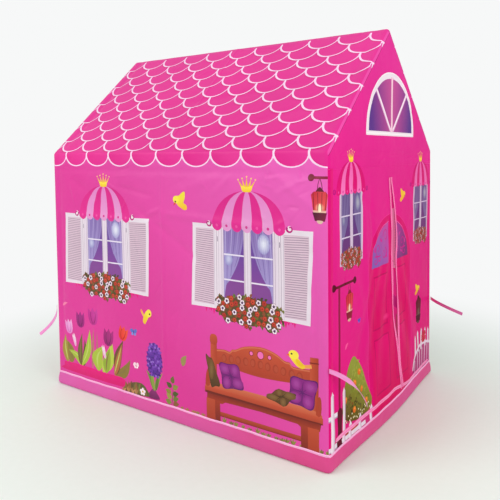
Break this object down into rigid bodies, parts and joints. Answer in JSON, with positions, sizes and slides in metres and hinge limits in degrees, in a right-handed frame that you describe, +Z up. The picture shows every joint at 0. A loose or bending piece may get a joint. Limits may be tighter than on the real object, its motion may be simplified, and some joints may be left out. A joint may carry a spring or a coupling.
{
  "type": "kids play tent",
  "caption": "House-shaped play tent: a plastic rod frame inside a printed cloth cover with a slit door, two door flaps and corner tie ribbons.",
  "frame": {"origin": "on the floor, under the middle of the tent", "axes": "+X out of the door, along the ridge; +Z up; +Y to the right of someone who faces the door"},
  "size_m": [1.1658, 0.696, 1.0194],
  "materials": {
    "rod_plastic": "smooth white plastic tube",
    "joint_plastic": "moulded white plastic",
    "roof_cloth": "thin printed polyester, pink with pale scallops",
    "side_cloth": "thin printed polyester, pink",
    "end_cloth": "thin printed polyester, deep pink",
    "door_cloth": "thin printed polyester, magenta",
    "band_cloth": "plain polyester sleeve, rose",
    "binding_tape": "folded pale pink edge tape",
    "tie_ribbon": "flat pink polyester ribbon"
  },
  "bodies": {
    "frame_and_cover": {"base_rod_front_left": "rod_plastic", "tie_rod_front_left": "rod_plastic", "post_front_left_lower": "rod_plastic", "post_front_left_upper": "rod_plastic", "rafter_front_left": "rod_plastic", "base_rod_front_right": "rod_plastic", "tie_rod_front_right": "rod_plastic", "post_front_right_lower": "rod_plastic", "post_front_right_upper": "rod_plastic", "rafter_front_right": "rod_plastic", "base_rod_rear_left": "rod_plastic", "tie_rod_rear_left": "rod_plastic", "post_rear_left_lower": "rod_plastic", "post_rear_left_upper": "rod_plastic", "rafter_rear_left": "rod_plastic", "base_rod_rear_right": "rod_plastic", "tie_rod_rear_right": "rod_plastic", "post_rear_right_lower": "rod_plastic", "post_rear_right_upper": "rod_plastic", "rafter_rear_right": "rod_plastic", "base_rod_left_rear": "rod_plastic", "eave_rod_left_rear": "rod_plastic", "base_rod_left_front": "rod_plastic", "eave_rod_left_front": "rod_plastic", "base_rod_right_rear": "rod_plastic", "eave_rod_right_rear": "rod_plastic", "base_rod_right_front": "rod_plastic", "eave_rod_right_front": "rod_plastic", "ridge_rod_rear": "rod_plastic", "ridge_rod_front": "rod_plastic", "base_corner_front_left": "joint_plastic", "base_corner_front_right": "joint_plastic", "base_corner_rear_left": "joint_plastic", "base_corner_rear_right": "joint_plastic", "eave_corner_front_left": "joint_plastic", "eave_corner_front_right": "joint_plastic", "eave_corner_rear_left": "joint_plastic", "eave_corner_rear_right": "joint_plastic", "ridge_joint_front": "joint_plastic", "ridge_joint_rear": "joint_plastic", "roof_left": "roof_cloth", "roof_right": "roof_cloth", "side_wall_left": "side_cloth", "side_wall_right": "side_cloth", "rear_wall": "end_cloth", "front_gable": "end_cloth", "front_wall_left": "end_cloth", "front_wall_right": "end_cloth", "base_band_left": "band_cloth", "base_band_right": "band_cloth", "base_band_front": "band_cloth", "base_band_rear": "band_cloth"},
    "door_flap_left": {"door_flap_left": "door_cloth", "door_binding_left": "binding_tape"},
    "door_flap_right": {"door_flap_right": "door_cloth", "door_binding_right": "binding_tape"},
    "tie_front_left": {"tie_ribbon_front_left": "tie_ribbon"},
    "tie_front_right": {"tie_ribbon_front_right": "tie_ribbon"},
    "tie_rear_left": {"tie_ribbon_rear_left": "tie_ribbon"},
    "tie_rear_right": {"tie_ribbon_rear_right": "tie_ribbon"}
  },
  "joints": [
    {"name": "door_flap_left_fold", "type": "hinge", "parent": "frame_and_cover", "child": "door_flap_left", "pos_m": [0.4646, -0.3239, 0.058], "axis": [0, 0.4858, 0.8741], "range_deg": [-60, 95]},
    {"name": "door_flap_right_fold", "type": "hinge", "parent": "frame_and_cover", "child": "door_flap_right", "pos_m": [0.4646, 0.016, 0.63], "axis": [0, 0.474, -0.8805], "range_deg": [-60, 95]},
    {"name": "tie_front_left_swing", "type": "hinge", "parent": "frame_and_cover", "child": "tie_front_left", "pos_m": [0.46557, -0.34557, 0.237], "axis": [0, 0, 1], "range_deg": [-180, 20]},
    {"name": "tie_front_right_swing", "type": "hinge", "parent": "frame_and_cover", "child": "tie_front_right", "pos_m": [0.46557, 0.34557, 0.237], "axis": [0, 0, -1], "range_deg": [-175, 25]},
    {"name": "tie_rear_left_swing", "type": "hinge", "parent": "frame_and_cover", "child": "tie_rear_left", "pos_m": [-0.46557, -0.34557, 0.237], "axis": [0, 0, 1], "range_deg": [-40, 135]},
    {"name": "tie_rear_right_swing", "type": "hinge", "parent": "frame_and_cover", "child": "tie_rear_right", "pos_m": [-0.46557, 0.34557, 0.237], "axis": [0, 0, 1], "range_deg": [-175, 25]}
  ]
}
